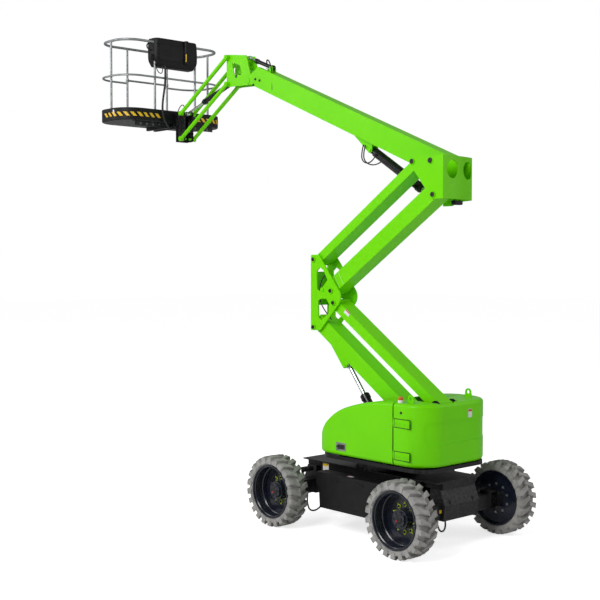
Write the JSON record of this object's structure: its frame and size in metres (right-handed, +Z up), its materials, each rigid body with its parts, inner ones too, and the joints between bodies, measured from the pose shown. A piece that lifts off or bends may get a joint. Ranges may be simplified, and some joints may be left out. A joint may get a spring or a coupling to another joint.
{
  "type": "articulating boom lift",
  "caption": "Self-propelled boom lift: four-wheel chassis with a slewing turntable, a folding parallel riser, a luffing upper boom and a levelled four-tube jib with a railed work cage.",
  "frame": {"origin": "on the ground, under the middle of the machine's overall length and width as it stands with its boom raised", "axes": "+X forward, from the steered axle towards the cage; +Y to the machine's left; +Z up"},
  "size_m": [6.0772, 1.859, 5.8785],
  "materials": {
    "green_paint": "gloss lime green enamel",
    "green_moulding": "lime green moulded hood",
    "dark_paint": "satin charcoal paint",
    "black_plastic": "textured black plastic",
    "black_cylinder": "gloss black cylinder tube",
    "chrome_rod": "ground and chromed rod",
    "galvanised": "dull galvanised steel",
    "beacon_lens": "amber lens on a white base",
    "tyre_rubber": "grey non-marking rubber",
    "rim_paint": "satin dark blue-black rim"
  },
  "bodies": {
    "chassis": {"chassis_frame": "dark_paint", "front_axle": "dark_paint", "rear_axle": "dark_paint", "steer_cylinder": "black_cylinder", "side_cover_left": "black_plastic", "side_cover_right": "black_plastic", "slew_ring": "dark_paint"},
    "steer_left": {"steer_knuckle_left": "dark_paint"},
    "steer_right": {"steer_knuckle_right": "dark_paint"},
    "steer_rod": {"steer_rod": "chrome_rod"},
    "wheel_front_left": {"tyre_front_left": "tyre_rubber", "rim_front_left": "rim_paint"},
    "wheel_front_right": {"tyre_front_right": "tyre_rubber", "rim_front_right": "rim_paint"},
    "wheel_rear_left": {"tyre_rear_left": "tyre_rubber", "rim_rear_left": "rim_paint"},
    "wheel_rear_right": {"tyre_rear_right": "tyre_rubber", "rim_rear_right": "rim_paint"},
    "superstructure": {"turntable": "dark_paint", "counterweight": "dark_paint", "power_pack": "black_plastic", "hood_rear": "green_moulding", "beacon": "beacon_lens", "lifting_eyes": "green_paint"},
    "door_left": {"hood_door_left": "green_moulding"},
    "door_right": {"hood_door_right": "green_moulding"},
    "riser_lower": {"riser_lower_boom": "green_paint"},
    "riser_lower_tie": {"riser_lower_tie": "green_paint"},
    "knuckle": {"knuckle": "green_paint"},
    "riser_upper": {"riser_upper_boom": "green_paint"},
    "riser_upper_tie": {"riser_upper_tie": "green_paint"},
    "boom_head": {"boom_head": "green_paint"},
    "riser_barrel": {"riser_cylinder_barrel": "black_cylinder"},
    "riser_rod": {"riser_cylinder_rod": "chrome_rod"},
    "boom": {"upper_boom": "green_paint"},
    "level_barrel": {"level_cylinder_barrel": "black_cylinder"},
    "level_rod": {"level_cylinder_rod": "chrome_rod"},
    "luff_barrel": {"luff_cylinder_barrel": "black_cylinder"},
    "luff_rod": {"luff_cylinder_rod": "chrome_rod"},
    "nose": {"nose": "green_paint"},
    "jib_barrel": {"jib_cylinder_barrel": "black_cylinder"},
    "jib_rod": {"jib_cylinder_rod": "chrome_rod"},
    "jib_upper": {"jib_upper_arm": "green_paint"},
    "jib_lower": {"jib_lower_arm": "green_paint"},
    "cage": {"cage_bracket": "dark_paint", "cage_floor": "galvanised", "cage_beam": "dark_paint", "toe_board": "black_plastic", "cage_rails": "galvanised", "cage_mid_rail": "galvanised", "control_console": "black_plastic"},
    "entry_bar": {"entry_bar": "galvanised"}
  },
  "joints": [
    {"name": "steer", "type": "hinge", "parent": "chassis", "child": "steer_left", "pos_m": [-2.64864, 0.5975, 0.39], "axis": [0, 0, 1], "range_deg": [-30, 30]},
    {"name": "steer_follow", "type": "hinge", "parent": "chassis", "child": "steer_right", "pos_m": [-2.64864, -0.5525, 0.39], "axis": [0, 0, 1], "range_deg": [-31, 31]},
    {"name": "steer_rod_slide", "type": "slide", "parent": "chassis", "child": "steer_rod", "axis": [0, 1, 0], "range_m": [-0.07, 0.07]},
    {"name": "wheel_front_left_spin", "type": "hinge", "parent": "chassis", "child": "wheel_front_left", "pos_m": [-0.79263, 0.8075, 0.39], "axis": [0, 1, 0], "continuous": true},
    {"name": "wheel_front_right_spin", "type": "hinge", "parent": "chassis", "child": "wheel_front_right", "pos_m": [-0.79263, -0.7625, 0.39], "axis": [0, 1, 0], "continuous": true},
    {"name": "wheel_rear_left_spin", "type": "hinge", "parent": "steer_left", "child": "wheel_rear_left", "pos_m": [-2.64864, 0.8075, 0.39], "axis": [0, 1, 0], "continuous": true},
    {"name": "wheel_rear_right_spin", "type": "hinge", "parent": "steer_right", "child": "wheel_rear_right", "pos_m": [-2.64864, -0.7625, 0.39], "axis": [0, 1, 0], "continuous": true},
    {"name": "slew", "type": "hinge", "parent": "chassis", "child": "superstructure", "pos_m": [-1.72063, 0.0225, 0.75], "axis": [0, 0, 1], "range_deg": [-177.5, 177.5]},
    {"name": "door_left_swing", "type": "hinge", "parent": "superstructure", "child": "door_left", "pos_m": [-2.32463, 0.5745, 1.1], "axis": [0, 0, 1], "range_deg": [0, 70]},
    {"name": "door_right_swing", "type": "hinge", "parent": "superstructure", "child": "door_right", "pos_m": [-2.32463, -0.5295, 1.1], "axis": [0, 0, -1], "range_deg": [0, 70]},
    {"name": "riser_lift", "type": "hinge", "parent": "superstructure", "child": "riser_lower", "pos_m": [-2.28663, 0.1275, 1.169], "axis": [0, -1, 0], "range_deg": [-33, 38]},
    {"name": "riser_tie_turn", "type": "hinge", "parent": "superstructure", "child": "riser_lower_tie", "pos_m": [-2.61063, 0.1275, 1.453], "axis": [0, -1, 0], "range_deg": [-34, 39]},
    {"name": "knuckle_level", "type": "hinge", "parent": "riser_lower", "child": "knuckle", "pos_m": [-0.79437, 0.1275, 2.17555], "axis": [0, 1, 0], "range_deg": [-34, 39]},
    {"name": "riser_upper_turn", "type": "hinge", "parent": "knuckle", "child": "riser_upper", "pos_m": [-1.07437, 0.1275, 2.59055], "axis": [0, 1, 0], "range_deg": [-34, 39]},
    {"name": "riser_upper_tie_turn", "type": "hinge", "parent": "knuckle", "child": "riser_upper_tie", "pos_m": [-0.79437, 0.1275, 2.94055], "axis": [0, 1, 0], "range_deg": [-34, 39]},
    {"name": "boom_head_level", "type": "hinge", "parent": "riser_upper", "child": "boom_head", "pos_m": [-2.56664, 0.1275, 3.59709], "axis": [0, -1, 0], "range_deg": [-34, 39]},
    {"name": "riser_barrel_tilt", "type": "hinge", "parent": "superstructure", "child": "riser_barrel", "pos_m": [-1.90763, 0.1275, 0.885], "axis": [0, -1, 0], "range_deg": [-35, 40]},
    {"name": "riser_rod_slide", "type": "slide", "parent": "riser_barrel", "child": "riser_rod", "axis": [0.6089, 0, 0.7932], "range_m": [-0.3, 0.34]},
    {"name": "boom_luff", "type": "hinge", "parent": "boom_head", "child": "boom", "pos_m": [-2.53164, -0.1065, 3.94309], "axis": [0, -1, 0], "range_deg": [-23, 47]},
    {"name": "luff_barrel_tilt", "type": "hinge", "parent": "boom", "child": "luff_barrel", "pos_m": [-1.36363, -0.1065, 4.14909], "axis": [0, -1, 0], "range_deg": [-10, 10]},
    {"name": "luff_rod_slide", "type": "slide", "parent": "luff_barrel", "child": "luff_rod", "axis": [-0.8466, 0, -0.5322], "range_m": [-0.25, 0.45]},
    {"name": "nose_level", "type": "hinge", "parent": "boom", "child": "nose", "pos_m": [0.70138, -0.1065, 5.14595], "axis": [0, 1, 0], "range_deg": [-24, 48]},
    {"name": "level_barrel_tilt", "type": "hinge", "parent": "boom", "child": "level_barrel", "pos_m": [0.34361, -0.1065, 5.2722], "axis": [0, -1, 0], "range_deg": [-22, 12]},
    {"name": "level_rod_slide", "type": "slide", "parent": "level_barrel", "child": "level_rod", "axis": [0.9286, 0, 0.3711], "range_m": [-0.1, 0.2]},
    {"name": "jib_lift", "type": "hinge", "parent": "nose", "child": "jib_upper", "pos_m": [1.11638, -0.1065, 5.48796], "axis": [0, -1, 0], "range_deg": [-38, 68]},
    {"name": "jib_lower_turn", "type": "hinge", "parent": "nose", "child": "jib_lower", "pos_m": [1.11638, -0.1065, 5.15296], "axis": [0, -1, 0], "range_deg": [-39, 69]},
    {"name": "jib_barrel_tilt", "type": "hinge", "parent": "nose", "child": "jib_barrel", "pos_m": [0.95938, -0.1065, 5.23395], "axis": [0, -1, 0], "range_deg": [-36, 63]},
    {"name": "jib_rod_slide", "type": "slide", "parent": "jib_barrel", "child": "jib_rod", "axis": [0.9541, 0, -0.2995], "range_m": [-0.18, 0.31]},
    {"name": "cage_level", "type": "hinge", "parent": "jib_upper", "child": "cage", "pos_m": [2.09164, -0.1065, 4.87855], "axis": [0, 1, 0], "range_deg": [-39, 69]},
    {"name": "entry_bar_lift", "type": "slide", "parent": "cage", "child": "entry_bar", "axis": [0, 0, 1], "range_m": [0, 0.38]}
  ],
  "couplings": [
    {"joint": "steer_follow", "follows": "steer", "ratio": 1},
    {"joint": "steer_rod_slide", "follows": "steer", "m_per_rad": 0.12414},
    {"joint": "riser_tie_turn", "follows": "riser_lift", "ratio": 1},
    {"joint": "knuckle_level", "follows": "riser_lift", "ratio": 1},
    {"joint": "riser_upper_turn", "follows": "riser_lift", "ratio": 1},
    {"joint": "riser_upper_tie_turn", "follows": "riser_lift", "ratio": 1},
    {"joint": "boom_head_level", "follows": "riser_lift", "ratio": 1},
    {"joint": "riser_barrel_tilt", "follows": "riser_lift", "ratio": 0.9876},
    {"joint": "riser_rod_slide", "follows": "riser_lift", "m_per_rad": 0.4441},
    {"joint": "luff_barrel_tilt", "follows": "boom_luff", "ratio": -0.0837},
    {"joint": "luff_rod_slide", "follows": "boom_luff", "m_per_rad": 0.4136},
    {"joint": "nose_level", "follows": "boom_luff", "ratio": 1},
    {"joint": "level_barrel_tilt", "follows": "boom_luff", "ratio": -0.4193},
    {"joint": "level_rod_slide", "follows": "boom_luff", "m_per_rad": 0.2221},
    {"joint": "jib_lower_turn", "follows": "jib_lift", "ratio": 1},
    {"joint": "jib_barrel_tilt", "follows": "jib_lift", "ratio": 0.898},
    {"joint": "jib_rod_slide", "follows": "jib_lift", "m_per_rad": 0.2432},
    {"joint": "cage_level", "follows": "jib_lift", "ratio": 1}
  ]
}
